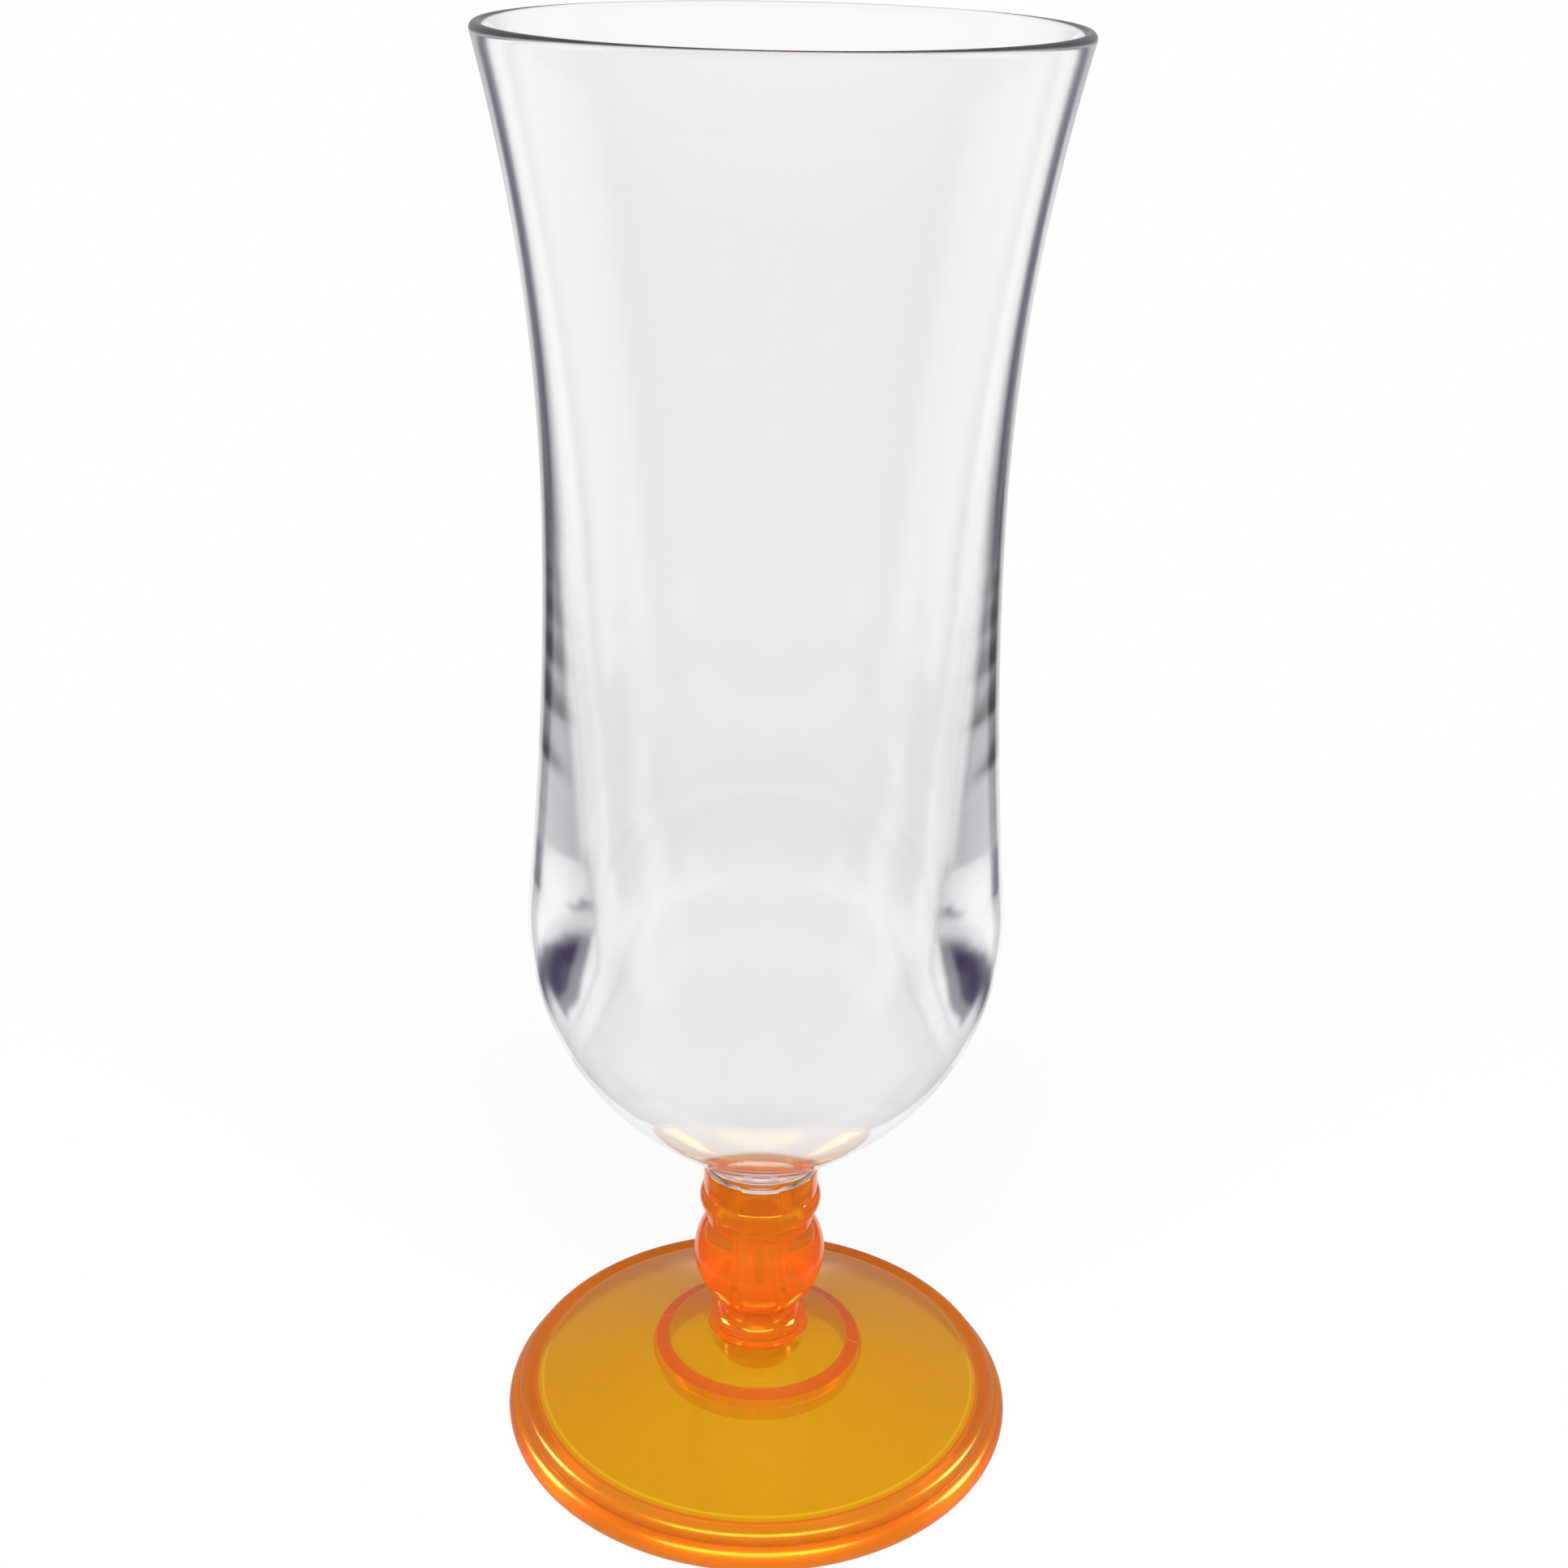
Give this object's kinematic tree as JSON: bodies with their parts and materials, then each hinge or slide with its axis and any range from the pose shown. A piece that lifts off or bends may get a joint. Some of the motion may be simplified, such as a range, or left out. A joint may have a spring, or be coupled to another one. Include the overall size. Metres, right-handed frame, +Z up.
{
  "type": "hurricane glass",
  "caption": "Hurricane glass: clear flared bowl with a bulge, lifting out of a beaded translucent orange stem on a wide, shallow conical foot.",
  "frame": {"origin": "middle of the foot's underside, on the surface that the glass stands on", "axes": "+Z up along the glass's axis of revolution; -Y faces the viewer and carries the spigot's key"},
  "size_m": [0.0788, 0.0788, 0.21],
  "materials": {
    "clear_bowl": "clear, polished, injection moulded",
    "orange_stem": "translucent orange, glossy",
    "orange_foot": "translucent orange, glossy, thinner and so more amber"
  },
  "bodies": {
    "base": {"foot": "orange_foot", "stem": "orange_stem"},
    "bowl": {"bowl": "clear_bowl"}
  },
  "joints": [
    {"name": "bowl_lift", "type": "slide", "parent": "base", "child": "bowl", "axis": [0, 0, 1], "range_m": [0, 0.012]}
  ]
}
